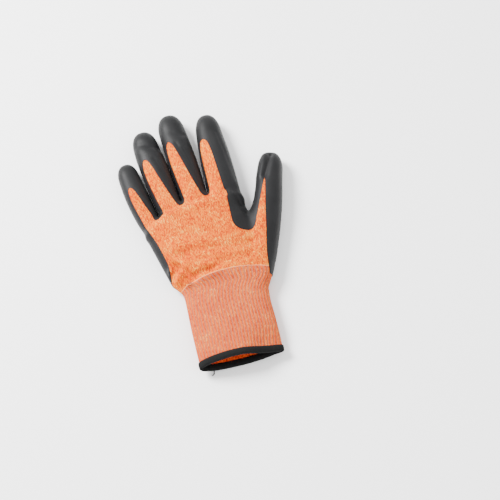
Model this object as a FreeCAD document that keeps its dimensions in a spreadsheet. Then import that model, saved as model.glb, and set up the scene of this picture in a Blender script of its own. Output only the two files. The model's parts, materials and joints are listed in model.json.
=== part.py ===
"""Left-hand cut resistant work glove, lying palm down with its fingers nearly straight.

The glove is a seamless knitted liner, dipped in a rubber coating that covers the palm side, wraps
round every finger and leaves the back of the hand bare. A ribbed cuff with elastic yarns inside it
ends in an overlocked hem. The liner and the coating of each finger are divided where the finger
bends. Each part of a finger is a tube round one bone of the hand, so the hand's own cavity runs
through all of them from the mouth of the cuff to the fingertips.

Frame: +Z up, +Y towards the fingertips, +X towards the thumb, origin on the surface that the glove
lies on, under the middle of the palm. Millimetres and degrees.
"""

import FreeCAD
import Part
import Sketcher
import math
import os

Vector = FreeCAD.Vector

# Driving dimensions that belong to the whole glove.
GENERAL = {
    "liner_wall": 1.3,
    "coat_wall": 0.8,
    "cuff_wall": 1.8,
    "hem_wall": 0.8,
    "hem_width": 6.5,
    "joint_gap": 0.4,
    "notch_margin": 2.0,
    "root_depth": 10.0,
    "dome_angle_first": 35.0,
    "dome_angle_second": 60.0,
    "dome_angle_last": 80.0,
    "below": 3.0,
    "above": 40.0,
    "flex_root": 70.0,
    "flex_middle": 85.0,
    "flex_tip": 51.0,
    "thumb_flex_root": 50.0,
    "thumb_flex_tip": 65.0,
    "wrist_flex": 30.0,
    "wrist_height": 12.0,
    "opening_height": 12.0,
    "strip_end_half_width": 3.2,
    "strip_overlap": 8.0,
    "elastic_width": 0.6,
    "elastic_thickness": 0.5,
    "elastic_clearance": 0.1,
    "elastic_pitch": 4.5,
    "heel_coat_length": 12.0,
    "heel_coat_height": 11.0,
    "tail_radius": 0.6,
    "tail_length": 1.2,
    "tail_bend": 1.8,
}

# One row per finger: where its root is, how far it leans to the little finger's side, its length,
# its half width and half height at the root and at the tip, how far along it bends, how high the
# hinges lie, and the bare strip on its back (half width at the root, shift there, end and shift).
FINGER_COLUMNS = (
    "root_x", "root_y", "fan", "length",
    "root_half_width", "root_half_height", "tip_half_width", "tip_half_height",
    "hinge_root", "hinge_middle", "hinge_tip", "hinge_height",
    "strip_half_width", "strip_end",
)
FINGERS = {
    "index": (15.2, 49.7, 1.5, 80.5, 14.0, 11.5, 12.2, 9.0, 9.0, 32.0, 56.0, 8.5, 7.0, 52.0),
    "middle": (-11.3, 44.3, 6.0, 93.0, 12.0, 11.0, 11.9, 9.0, 9.5, 38.0, 65.0, 8.5, 7.0, 61.0),
    "ring": (-35.1, 39.3, 8.1, 85.5, 11.3, 10.7, 11.0, 8.8, 9.0, 35.0, 60.0, 8.3, 6.5, 55.0),
    "pinky": (-56.6, 34.5, 12.7, 60.8, 9.8, 9.2, 9.4, 7.8, 8.0, 25.5, 42.5, 7.6, 5.5, 36.0),
    "thumb": (47.6, 18.0, -16.8, 63.4, 14.4, 11.5, 11.2, 9.0, 10.0, 10.0, 36.0, 8.8, 5.0, 32.0),
}
LONG_FINGERS = ("index", "middle", "ring", "pinky")

# Cross-sections of the palm and of the cuff, from the hem to the roots of the fingers: the middle,
# the half width, the half height and the turn of the section's plane.
SECTION_COLUMNS = ("x", "y", "half_width", "half_height", "turn")
SECTIONS = {
    "mouth": (-1.0, -112.0, 38.0, 13.0, 0.0),
    "waist": (-1.0, -76.0, 37.0, 12.5, 0.0),
    "wrist": (-1.0, -40.0, 41.0, 12.0, 0.0),
    "palm": (-9.0, -1.0, 47.5, 12.5, 6.0),
    "roots": (-18.5, 42.7, 49.7, 12.0, 12.0),
}
THUMB_HEEL = {"thumb_heel_station": -58.0, "thumb_heel_half_width": 9.5, "thumb_heel_half_height": 9.0}

# The bare back of the hand, seen from above: the coating stops at this outline. Points run from the
# little finger's side of the wrist to the roots of the fingers, round the web of the thumb and back.
BARE_BACK = (
    (-46.0, -46.0), (-43.0, -33.0), (-49.0, -6.0), (-58.5, 20.0), (-61.5, 30.0),
    (-50.0, 31.0), (-22.0, 38.5), (5.0, 43.5), (17.0, 46.0), (21.0, 30.0), (25.0, 12.0),
    (31.0, 4.0), (37.0, 8.0), (39.5, 17.0), (44.0, 17.0), (43.0, -5.0), (41.0, -25.0), (38.0, -46.0),
)

doc = FreeCAD.newDocument("glove")
sheet = doc.addObject("Spreadsheet::Sheet", "Sizes")


def fill_sheet():
    """Writes every driving dimension to a cell with an alias."""
    cells = dict(GENERAL)
    cells.update(THUMB_HEEL)
    for finger, row in FINGERS.items():
        cells.update({f"{finger}_{column}": number for column, number in zip(FINGER_COLUMNS, row)})
    for section, row in SECTIONS.items():
        cells.update({f"{section}_{column}": number for column, number in zip(SECTION_COLUMNS, row)})
    for index, (x, y) in enumerate(BARE_BACK):
        cells[f"bare_back_{index}_x"] = x
        cells[f"bare_back_{index}_y"] = y
    for line, (alias, number) in enumerate(cells.items(), 1):
        sheet.set(f"A{line}", alias)
        sheet.set(f"B{line}", str(number))
        sheet.setAlias(f"B{line}", alias)
    doc.recompute()


def value(expression):
    """What an expression on the sheet's cells comes to now."""
    return float(sheet.evalExpression(expression))


# Placements, as expressions. A finger's own frame has its origin at the middle of the finger's root,
# on the surface below, and its Y axis along the finger.
def upright(x, y, turn):
    """A sketch plane that faces along Y, turned about Z, with its second axis up."""
    return (
        f"placement(vector({x}; {y}; 0); "
        f"rotation(vector(0; 0; 1); {turn}) * rotation(vector(1; 0; 0); 90))"
    )


def across_finger(finger, station):
    """The upright plane across a finger, that far along it from its root."""
    x = f"Sizes.{finger}_root_x - ({station}) * sin(Sizes.{finger}_fan)"
    y = f"Sizes.{finger}_root_y + ({station}) * cos(Sizes.{finger}_fan)"
    return upright(x, y, f"Sizes.{finger}_fan")


def side_of(x, y, turn):
    """A sketch plane seen from the side: its first axis runs along the piece and its second up."""
    return (
        f"placement(vector({x}; {y}; 0); "
        f"rotation(vector(0; 0; 1); {turn}) * rotation(vector(1; 1; 1); 120))"
    )


def above(x, y, height, turn):
    """A sketch plane seen from above, at that height."""
    return f"placement(vector({x}; {y}; {height}); rotation(vector(0; 0; 1); {turn}))"


def finger_side(finger):
    return side_of(f"Sizes.{finger}_root_x", f"Sizes.{finger}_root_y", f"Sizes.{finger}_fan")


# Sketches
def named_distance(sketch, kind, name, ends, expression):
    """Adds a dimension between a sketch's origin and a point, and binds it to the sheet."""
    number = sketch.addConstraint(Sketcher.Constraint(kind, *ends, value(expression)))
    sketch.renameConstraint(number, name)
    sketch.setExpression(f"Constraints.{name}", expression)


def slot(name, placement, half_width, half_height, centre_height):
    """A section with a flat top and bottom and round sides, standing on an upright plane."""
    sketch = doc.addObject("Sketcher::SketchObject", name)
    radius = value(half_height)
    reach = value(half_width) - radius
    height = value(centre_height)
    normal = Vector(0, 0, 1)
    right_end = Part.Circle(Vector(reach, height, 0), normal, radius)
    left_end = Part.Circle(Vector(-reach, height, 0), normal, radius)
    right = sketch.addGeometry(Part.ArcOfCircle(right_end, -math.pi / 2, math.pi / 2))
    top = sketch.addGeometry(
        Part.LineSegment(Vector(reach, height + radius, 0), Vector(-reach, height + radius, 0))
    )
    left = sketch.addGeometry(Part.ArcOfCircle(left_end, math.pi / 2, 3 * math.pi / 2))
    bottom = sketch.addGeometry(
        Part.LineSegment(Vector(-reach, height - radius, 0), Vector(reach, height - radius, 0))
    )
    for first, second in ((right, top), (top, left), (left, bottom), (bottom, right)):
        sketch.addConstraint(Sketcher.Constraint("Tangent", first, 2, second, 1))
    sketch.addConstraint(Sketcher.Constraint("Horizontal", top))
    sketch.addConstraint(Sketcher.Constraint("Equal", right, left))
    named_distance(sketch, "Radius", "radius", (right,), half_height)
    centre_reach = f"{half_width} - ({half_height})"
    named_distance(sketch, "DistanceX", "reach_right", (-1, 1, right, 3), centre_reach)
    named_distance(sketch, "DistanceX", "reach_left", (left, 3, -1, 1), centre_reach)
    named_distance(sketch, "DistanceY", "centre_height", (-1, 1, right, 3), centre_height)
    sketch.setExpression("Placement", placement)
    return sketch


def polygon(name, placement, corners):
    """A closed outline whose corners are pairs of expressions."""
    sketch = doc.addObject("Sketcher::SketchObject", name)
    points = [Vector(value(x), value(y), 0) for x, y in corners]
    for start, end in zip(points, points[1:] + points[:1]):
        sketch.addGeometry(Part.LineSegment(start, end))
    for side in range(len(points)):
        sketch.addConstraint(
            Sketcher.Constraint("Coincident", side, 2, (side + 1) % len(points), 1)
        )
    for corner, (x, y) in enumerate(corners):
        named_distance(sketch, "DistanceX", f"x_{corner}", (-1, 1, corner, 1), x)
        named_distance(sketch, "DistanceY", f"y_{corner}", (-1, 1, corner, 1), y)
    sketch.setExpression("Placement", placement)
    return sketch


# Solids
def loft(name, sections):
    solid = doc.addObject("Part::Loft", name)
    solid.Sections = sections
    solid.Solid = True
    solid.Ruled = True
    return solid


def prism(name, outline, forward, back="0"):
    """The outline drawn out along its normal, forward and back by these expressions."""
    solid = doc.addObject("Part::Extrusion", name)
    solid.Base = outline
    solid.DirMode = "Normal"
    solid.Solid = True
    solid.setExpression("LengthFwd", forward)
    solid.setExpression("LengthRev", back)
    return solid


def cut(name, base, tool):
    solid = doc.addObject("Part::Cut", name)
    solid.Base = base
    solid.Tool = tool
    return solid


def common(name, base, tool):
    solid = doc.addObject("Part::Common", name)
    solid.Base = base
    solid.Tool = tool
    return solid


def fuse(name, pieces):
    solid = doc.addObject("Part::MultiFuse", name)
    solid.Shapes = pieces
    return solid


# Where the glove bends. A bend is a hinge line across the piece, with a notch that opens from the
# hinge down to the palm side, and up to the back where the piece bends both ways.
def bend(station, height, notch_below, notch_above="0"):
    return {"station": station, "height": height, "below": notch_below, "above": notch_above}


def finger_bends(finger):
    """The bends of a finger from its root to its tip."""
    hinge_height = f"Sizes.{finger}_hinge_height"
    if finger == "thumb":
        flexes = {"root": "Sizes.thumb_flex_root", "tip": "Sizes.thumb_flex_tip"}
    else:
        flexes = {place: f"Sizes.flex_{place}" for place in ("root", "middle", "tip")}
    return {
        place: bend(
            f"Sizes.{finger}_hinge_{place}", hinge_height, f"{flex} / 2 + Sizes.notch_margin"
        )
        for place, flex in flexes.items()
    }


WRIST_BEND = bend(
    "Sizes.wrist_y",
    "Sizes.wrist_height",
    "Sizes.wrist_flex / 2 + Sizes.notch_margin",
    "Sizes.wrist_flex / 2 + Sizes.notch_margin",
)


def edge_at(at, sign):
    """The three corners of a region's end at a bend, from the bottom up. sign is 1 where the region
    lies beyond the bend and -1 where it lies before it."""
    hinge_side = f"{at['station']} + {sign} * Sizes.joint_gap / 2"
    drop = f"{at['height']} + Sizes.below"
    rise = f"Sizes.above - {at['height']}"
    return (
        (f"{hinge_side} + {sign} * ({drop}) * tan({at['below']})", "-Sizes.below"),
        (hinge_side, at["height"]),
        (f"{hinge_side} + {sign} * ({rise}) * tan({at['above']})", "Sizes.above"),
    )


def region(name, placement, start, end, half_span="120"):
    """The space between two bends, or between a bend and a plain plane given as an expression."""
    if isinstance(start, dict):
        first = edge_at(start, 1)
    else:
        first = ((start, "-Sizes.below"), (start, "Sizes.above"))
    if isinstance(end, dict):
        last = edge_at(end, -1)
    else:
        last = ((end, "-Sizes.below"), (end, "Sizes.above"))
    outline = polygon(f"{name}_outline", placement, (*first, *reversed(last)))
    return prism(name, outline, half_span, half_span)


# Fingers
def finger_skin(finger, layer, offset):
    """A finger's closed outer form, taken in by an offset, from inside the palm to its tip."""
    def size(place):
        return f"Sizes.{finger}_{place}"

    def section(label, station, half_width, half_height, scale, centre):
        return slot(
            f"{finger}_{layer}_{label}",
            across_finger(finger, station),
            f"({half_width} - {offset}) * {scale}",
            f"({half_height} - {offset}) * {scale}",
            centre,
        )

    root = (size("root_half_width"), size("root_half_height"))
    tip = (size("tip_half_width"), size("tip_half_height"))
    if finger == "thumb":
        heel = ("Sizes.thumb_heel_half_width", "Sizes.thumb_heel_half_height")
        start = "Sizes.thumb_heel_station"
        sections = [section("heel", start, *heel, "1", heel[1])]
    else:
        sections = [section("start", "-Sizes.root_depth", *root, "1", root[1])]
    sections.append(section("root", "0", *root, "1", root[1]))
    dome_start = f"{size('length')} - {tip[0]}"
    sections.append(section("dome", dome_start, *tip, "1", tip[1]))
    for step in ("first", "second", "last"):
        angle = f"Sizes.dome_angle_{step}"
        station = f"{dome_start} + ({tip[0]} - {offset}) * sin({angle})"
        sections.append(section(f"dome_{step}", station, *tip, f"cos({angle})", tip[1]))
    return loft(f"{finger}_{layer}", sections)


def bare_strip(finger):
    """The wedge of bare knit along a finger's back, drawn up from the finger's mid height."""
    def size(place):
        return f"Sizes.{finger}_{place}"

    start = "-Sizes.strip_overlap"
    corners = (
        (f"-{size('strip_half_width')}", start),
        (size("strip_half_width"), start),
        ("Sizes.strip_end_half_width", size("strip_end")),
        ("-Sizes.strip_end_half_width", size("strip_end")),
    )
    placement = above(size("root_x"), size("root_y"), "Sizes.opening_height", size("fan"))
    outline = polygon(f"{finger}_strip_outline", placement, corners)
    return prism(f"{finger}_strip", outline, "Sizes.above")


def make_finger(finger):
    """Builds the jointed parts of a finger, and returns what its root adds to the palm."""
    coat = finger_skin(finger, "coat", "0")
    outer = finger_skin(finger, "outer", "Sizes.coat_wall")
    inner = finger_skin(finger, "inner", "(Sizes.coat_wall + Sizes.liner_wall)")
    strip = bare_strip(finger)
    liner_tube = cut(f"{finger}_liner_tube", outer, inner)
    coat_shell = cut(f"{finger}_coat_shell", coat, outer)
    coat_tube = cut(f"{finger}_coat_tube", coat_shell, strip)

    bends = finger_bends(finger)
    side = finger_side(finger)
    places = list(bends)
    names = {1: ("distal",), 2: ("proximal", "distal"), 3: ("proximal", "middle", "distal")}[
        len(places)
    ]
    past_tip = f"Sizes.{finger}_length + Sizes.root_depth"
    parts = []
    for number, (place, name) in enumerate(zip(places, names)):
        end = bends[places[number + 1]] if number + 1 < len(places) else past_tip
        space = region(f"{finger}_{name}_space", side, bends[place], end)
        parts.append(common(f"{finger}_{name}_liner", liner_tube, space))
        parts.append(common(f"{finger}_{name}_coating", coat_tube, space))

    before_root = "Sizes.thumb_heel_station - 5" if finger == "thumb" else "-Sizes.root_depth - 5"
    root_space = region(f"{finger}_root_space", side, before_root, bends["root"])
    mouth_space = region(f"{finger}_mouth_space", side, before_root, f"Sizes.{finger}_hinge_root + 5")
    root = {
        "hull": common(f"{finger}_root_hull", outer, root_space),
        "void": common(f"{finger}_root_void", inner, mouth_space),
        "coat": common(f"{finger}_root_coat", coat, root_space),
        "strip": strip,
    }
    return parts, root


# Palm and cuff
def hand_skin(name, sections, offset, shorten_end="0"):
    """A closed form through cross-sections of the palm or the cuff, taken in by an offset."""
    made = []
    for number, section in enumerate(sections):
        def size(place, section=section):
            return f"Sizes.{section}_{place}"

        y = size("y")
        if number == len(sections) - 1:
            y = f"{y} - ({shorten_end})"
        made.append(
            slot(
                f"{name}_{section}",
                upright(size("x"), y, size("turn")),
                f"{size('half_width')} - {offset}",
                f"{size('half_height')} - {offset}",
                size("half_height"),
            )
        )
    return loft(name, made)


def make_palm(roots):
    """The palm's liner and coating, with the roots of all the fingers on them."""
    sections = ("wrist", "palm", "roots")
    wall = "(Sizes.coat_wall + Sizes.liner_wall)"
    coat = hand_skin("palm_coat", sections, "0")
    outer = hand_skin("palm_outer", sections, "Sizes.coat_wall", "Sizes.coat_wall")
    inner = hand_skin("palm_inner", sections, wall, wall)
    hull = fuse("palm_hull", [outer, *(root["hull"] for root in roots.values())])
    void = fuse("palm_void", [inner, *(root["void"] for root in roots.values())])
    coat_hull = fuse("palm_coat_hull", [coat, *(root["coat"] for root in roots.values())])

    bare_corners = [
        (f"Sizes.bare_back_{index}_x", f"Sizes.bare_back_{index}_y")
        for index in range(len(BARE_BACK))
    ]
    bare_outline = polygon(
        "bare_back_outline", above("0", "0", "Sizes.opening_height", "0"), bare_corners
    )
    bare_back = prism("bare_back", bare_outline, "Sizes.above")
    bare = fuse("bare_knit", [bare_back, *(root["strip"] for root in roots.values())])

    space = region("palm_space", side_of("0", "0", "0"), WRIST_BEND, "Sizes.roots_y + 60")
    liner = cut("palm_shell", hull, void)
    coat_shell = cut("palm_coat_shell", coat_hull, hull)
    coat_open = cut("palm_coat_open", coat_shell, bare)
    coat_clear = cut("palm_coat_clear", coat_open, void)
    return [
        common("palm_liner", liner, space),
        common("palm_coating", coat_clear, space),
    ]


def make_cuff():
    """The ribbed cuff, the overlocked hem round its mouth, and the coating over its heel."""
    sections = ("mouth", "waist", "wrist")
    outer = hand_skin("cuff_outer", sections, "Sizes.coat_wall")
    inner = hand_skin("cuff_inner", sections, "(Sizes.coat_wall + Sizes.cuff_wall)")
    coat = hand_skin("cuff_coat", sections, "0")
    hem_outer = hand_skin("hem_outer", sections, "0")
    hem_inner = hand_skin(
        "hem_inner", sections, "(Sizes.coat_wall + Sizes.cuff_wall + Sizes.hem_wall)"
    )
    side = side_of("0", "0", "0")

    cuff_start = "Sizes.mouth_y + Sizes.hem_wall"
    cuff_space = region("cuff_space", side, cuff_start, WRIST_BEND)
    tube = cut("cuff_tube", outer, inner)
    cuff = common("rib_cuff", tube, cuff_space)

    hem_space = region(
        "hem_space", side, "Sizes.mouth_y - 1", "Sizes.mouth_y + Sizes.hem_width"
    )
    hem_tube = cut("hem_tube", hem_outer, hem_inner)
    hem_ring = common("hem_ring", hem_tube, hem_space)
    hem = cut("cuff_hem", hem_ring, cuff)

    heel_start = "Sizes.wrist_y - Sizes.heel_coat_length"
    heel_space = region("heel_space", side, heel_start, WRIST_BEND)
    heel_shell = cut("heel_shell", coat, outer)
    heel_ring = common("heel_ring", heel_shell, heel_space)
    upper_corners = (
        ("-80", "Sizes.mouth_y - 10"), ("80", "Sizes.mouth_y - 10"),
        ("80", "Sizes.roots_y"), ("-80", "Sizes.roots_y"),
    )
    upper_outline = polygon(
        "upper_half_outline", above("0", "0", "Sizes.heel_coat_height", "0"), upper_corners
    )
    upper_half = prism("upper_half", upper_outline, "Sizes.above")
    heel = cut("heel_coating", heel_ring, upper_half)
    return [cuff, hem, heel]


def make_elastic():
    """Elastic yarns laid inside the cuff, one loop every few rows of knitting."""
    loops = []
    start = value("Sizes.mouth_y + Sizes.hem_width") + value("Sizes.elastic_pitch")
    end = value("Sizes.wrist_y") - 2 * value("Sizes.elastic_pitch")
    count = int((end - start) / value("Sizes.elastic_pitch")) + 1
    wall = "Sizes.coat_wall + Sizes.cuff_wall + Sizes.elastic_clearance"
    for number in range(count):
        y = f"Sizes.mouth_y + Sizes.hem_width + {number + 1} * Sizes.elastic_pitch"
        below_waist = value(y) < value("Sizes.waist_y")
        low, high = ("mouth", "waist") if below_waist else ("waist", "wrist")
        share = f"(({y}) - Sizes.{low}_y) / (Sizes.{high}_y - Sizes.{low}_y)"

        def between(place, low=low, high=high, share=share):
            start_size = f"Sizes.{low}_{place}"
            return f"({start_size} + (Sizes.{high}_{place} - {start_size}) * {share})"

        placement = upright("Sizes.wrist_x", y, "0")
        rings = []
        for edge, inset in (("outer", f"({wall})"), ("inner", f"({wall} + Sizes.elastic_thickness)")):
            outline = slot(
                f"elastic_{number}_{edge}_outline",
                placement,
                f"({between('half_width')} - {inset})",
                f"({between('half_height')} - {inset})",
                between("half_height"),
            )
            rings.append(prism(f"elastic_{number}_{edge}", outline, "Sizes.elastic_width"))
        loops.append(cut(f"elastic_{number}", *rings))
    yarns = doc.addObject("Part::Compound", "cuff_elastic")
    yarns.Links = loops
    return yarns


def make_thread_tail():
    """The short end of overlock thread at the little finger's corner of the hem, bent once."""
    radius = value("Sizes.tail_radius")
    bend_radius = value("Sizes.tail_bend")
    start = Vector(
        value("Sizes.mouth_x - Sizes.mouth_half_width + Sizes.mouth_half_height"),
        value("Sizes.mouth_y"),
        radius,
    )
    straight_end = start - Vector(0, value("Sizes.tail_length"), 0)
    arc_middle = straight_end + Vector(
        -bend_radius * (1 - math.cos(math.pi / 4)), -bend_radius * math.sin(math.pi / 4), 0
    )
    arc_end = straight_end + Vector(-bend_radius, -bend_radius, 0)
    path = Part.Wire(
        [
            Part.LineSegment(start, straight_end).toShape(),
            Part.Arc(straight_end, arc_middle, arc_end).toShape(),
        ]
    )
    section = Part.Wire([Part.Circle(start, Vector(0, 1, 0), radius).toShape()])
    tail = doc.addObject("Part::Feature", "hem_thread_tail")
    tail.Shape = path.makePipeShell([section], True, False)
    return tail


def check(parts):
    """Stops if an object failed or a part's shape isn't a valid solid."""
    for made in doc.Objects:
        if "Invalid" in made.State or "Error" in made.State:
            raise RuntimeError(f"{made.Name} failed: {made.State}")
    for part in parts:
        shape = part.Shape
        if shape.isNull() or not shape.isValid() or not shape.Solids:
            raise RuntimeError(f"{part.Name} has no valid solid")


def write(parts):
    os.makedirs("parts", exist_ok=True)
    for part in parts:
        part.Label = part.Name
        part.Shape.exportStep(os.path.join("parts", f"{part.Label}.step"))


fill_sheet()
all_parts = []
finger_roots = {}
for finger_name in FINGERS:
    finger_parts, finger_roots[finger_name] = make_finger(finger_name)
    all_parts += finger_parts
all_parts += make_palm(finger_roots)
all_parts += make_cuff()
all_parts += [make_elastic(), make_thread_tail()]
doc.recompute()
check(all_parts)
write(all_parts)
for part in all_parts:
    print(part.Label, len(part.Shape.Solids), round(part.Shape.Volume, 1))
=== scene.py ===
"""The looks of a cut resistant glove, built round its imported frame.

The hand is one smooth surface, worked out from the frame's hinges and boxes, that is cut where the
glove bends and where the coating ends. The knit is that surface and the coating is a shell on it.
The cuff, its hem and its yarns are made on the same surface further down. Lengths are in
millimetres until a mesh is made.
"""

import json
import math

import bpy
import numpy as np
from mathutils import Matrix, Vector


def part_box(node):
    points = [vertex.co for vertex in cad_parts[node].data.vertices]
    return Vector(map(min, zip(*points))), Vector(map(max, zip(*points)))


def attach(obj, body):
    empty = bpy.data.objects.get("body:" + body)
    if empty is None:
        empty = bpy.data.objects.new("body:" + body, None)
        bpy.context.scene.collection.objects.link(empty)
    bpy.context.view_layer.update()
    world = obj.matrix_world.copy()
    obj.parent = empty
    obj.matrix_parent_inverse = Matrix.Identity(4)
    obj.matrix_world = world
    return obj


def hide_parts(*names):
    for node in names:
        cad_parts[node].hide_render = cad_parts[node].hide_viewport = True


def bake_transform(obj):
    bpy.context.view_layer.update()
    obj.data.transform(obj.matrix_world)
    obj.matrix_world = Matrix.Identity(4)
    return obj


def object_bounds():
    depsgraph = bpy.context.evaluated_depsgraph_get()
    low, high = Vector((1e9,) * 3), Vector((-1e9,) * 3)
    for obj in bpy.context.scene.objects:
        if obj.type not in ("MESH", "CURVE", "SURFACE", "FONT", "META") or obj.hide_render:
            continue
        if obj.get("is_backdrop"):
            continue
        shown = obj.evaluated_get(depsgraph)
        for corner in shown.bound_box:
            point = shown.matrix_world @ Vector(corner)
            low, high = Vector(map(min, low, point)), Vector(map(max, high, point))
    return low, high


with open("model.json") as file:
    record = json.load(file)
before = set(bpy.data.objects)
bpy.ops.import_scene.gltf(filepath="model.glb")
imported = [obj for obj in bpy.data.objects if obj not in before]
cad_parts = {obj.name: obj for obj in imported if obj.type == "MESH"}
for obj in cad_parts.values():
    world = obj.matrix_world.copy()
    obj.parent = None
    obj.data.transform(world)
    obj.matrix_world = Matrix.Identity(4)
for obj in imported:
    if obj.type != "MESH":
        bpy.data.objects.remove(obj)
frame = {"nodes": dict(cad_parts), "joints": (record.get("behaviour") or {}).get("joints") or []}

CAD_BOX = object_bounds()
MM = 0.001
LONG_FINGERS = ("index", "middle", "ring", "pinky")
JOINTS = {joint["name"]: joint for joint in frame["joints"]}

# Landmarks from the frame.
HEM_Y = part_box("cuff_hem")[0].y / MM
WRIST_Y = JOINTS["wrist_bend"]["pos_m"][1] / MM
CUFF_LEFT, CUFF_RIGHT = (corner.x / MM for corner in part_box("rib_cuff"))
HEM_LEFT, HEM_RIGHT = (corner.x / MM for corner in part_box("cuff_hem"))
HAND_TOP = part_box("palm_coating")[1].z / MM
HEM_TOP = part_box("cuff_hem")[1].z / MM
HEM_WIDTH = (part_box("cuff_hem")[1].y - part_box("cuff_hem")[0].y) / MM

# Sizes of the looks.
GRID_STEP = 0.75
COAT_THICKNESS = 0.6
COAT_LIP = 0.8
KNIT_THICKNESS = 1.1
TIP_TRIM = 0.8
CUFF_THICKNESS = 1.7
RIB_COUNT = 56
RIB_PERIOD = 3.0
RIB_HEIGHT = 0.45
COAT_RIB_PERIOD = 2.9
BEND_REACH = 9.0
FINGER_REACH = 2.0
MESH_INSET = 0.02


def cuff_share(x):
    """Where x lies across the cuff: -1 at its left side, 1 at its right side."""
    middle = (CUFF_LEFT + CUFF_RIGHT) / 2
    return (x - middle) / (CUFF_RIGHT - middle)


# Curves and blends
def profile(*points, blur=5.0):
    """A smooth curve of a value along the glove, through roughly these (place, value) points."""
    places = np.array([p[0] for p in points], float)
    values = np.array([p[1] for p in points], float)
    table_places = np.arange(places[0] - 8 * blur, places[-1] + 8 * blur, 1.0)
    table = np.interp(table_places, places, values)
    offsets = np.arange(-int(3 * blur), int(3 * blur) + 1)
    weights = np.exp(-0.5 * (offsets / blur) ** 2)
    table = np.convolve(np.pad(table, len(offsets) // 2, mode="edge"), weights / weights.sum(), "valid")
    return lambda place: np.interp(place, table_places, table)


def smooth_min(a, b, reach):
    """The smaller of two fields, rounded where they're closer than reach."""
    near = np.maximum(reach - np.abs(a - b), 0) / reach
    return np.minimum(a, b) - near * near * reach / 4


def smooth_max(a, b, reach):
    """The larger of two fields, rounded where they're closer than reach."""
    return -smooth_min(-a, -b, reach)


def smooth_step(value, low, high):
    """Goes from 0 at low to 1 at high, with no corner at either end."""
    share = np.clip((value - low) / (high - low), 0, 1)
    return share * share * (3 - 2 * share)


# The fingers
class Finger:
    """A finger's own frame: s runs along it from the root hinge and t across it to the thumb's side."""

    heel = -19.0
    heel_round = 12.0

    def __init__(self, name, root_cut, wedge, edges):
        self.root_cut = root_cut
        places = [p for p in ("root", "middle", "tip") if f"{name}_{p}_bend" in JOINTS]
        hinges = [JOINTS[f"{name}_{place}_bend"] for place in places]
        self.bodies = [hinge["child"] for hinge in hinges]
        self.origin = np.array(hinges[0]["pos_m"][:2]) / MM
        self.across = -np.array(hinges[0]["axis"][:2])
        self.along = np.array([-self.across[1], self.across[0]])
        self.hinge_height = hinges[0]["pos_m"][2] / MM
        self.hinges = [float((np.array(h["pos_m"][:2]) / MM - self.origin) @ self.along) for h in hinges]
        first = self.cad_extent(f"{self.bodies[0]}_coating")
        last = self.cad_extent(f"{self.bodies[-1]}_coating")
        self.tip = last[1][0] - TIP_TRIM
        self.start = -9.0
        self.left = profile(*((s, left) for s, left, _ in edges))
        self.right = profile(*((s, right) for s, _, right in edges))
        self.heights = (first[1][2] - first[0][2], last[1][2] - last[0][2])
        self.dome = (last[1][1] - last[0][1]) / 2 * 1.4
        self.wedge = wedge

    def cad_extent(self, node):
        """Lowest and highest (s, t, z) of a CAD node."""
        points = np.array([v.co for v in frame["nodes"][node].data.vertices]) / MM
        s, t = self.local(points[:, 0], points[:, 1])
        local = np.column_stack([s, t, points[:, 2]])
        return local.min(0), local.max(0)

    def local(self, x, y):
        """A point's (s, t)."""
        dx, dy = x - self.origin[0], y - self.origin[1]
        return dx * self.along[0] + dy * self.along[1], dx * self.across[0] + dy * self.across[1]

    def point(self, s, z=None):
        """A point on the finger's line, in metres."""
        x, y = self.origin + s * self.along
        return (x * MM, y * MM, (self.hinge_height if z is None else z) * MM)

    def aside(self, s, t):
        """How far to the side of the finger's middle line a point is, and the half width there."""
        left, right = self.left(s), self.right(s)
        return t - (left + right) / 2, (right - left) / 2 - COAT_THICKNESS

    def sizes(self, s):
        """Height and lift off the floor at s."""
        share = np.clip((s - self.start) / (self.tip - self.start), 0, 1)
        height = self.heights[0] + (self.heights[1] - self.heights[0]) * share - 0.6
        lift = 1.2 * np.sin(math.pi * np.clip(share * 1.1, 0, 1)) ** 2
        return height, lift

    def field(self, x, y, z):
        """Negative inside the finger and about a distance near its surface."""
        s, t = self.local(x, y)
        t, half = self.aside(s, t)
        height, lift = self.sizes(s)
        level = 0.46 * height + lift
        side = np.abs(t) / half
        below = np.maximum(level - z, 0) / (level - lift * 0.6 - COAT_THICKNESS)
        above = np.maximum(z - level, 0) / (height + lift - level)
        past = np.maximum(s - (self.tip - self.dome), 0) / self.dome
        total = side**2.3 + below**2.6 + above**2.2 + past**2.2 + self.behind(s) ** 2.3
        return (total ** (1 / 2.3) - 1) * height / 2

    def behind(self, s):
        """Ends the finger's form inside the palm."""
        return np.maximum(self.heel - s, 0) / self.heel_round


class Thumb(Finger):
    """The thumb, whose base runs back along the palm's edge to the wrist."""

    heel = -66.0
    heel_round = 14.0

    def sizes(self, s):
        """Height and lift off the floor at s, lower towards the wrist."""
        height, lift = super().sizes(s)
        return height - 3.5 * smooth_step(-s, 0, -self.heel), lift


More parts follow.
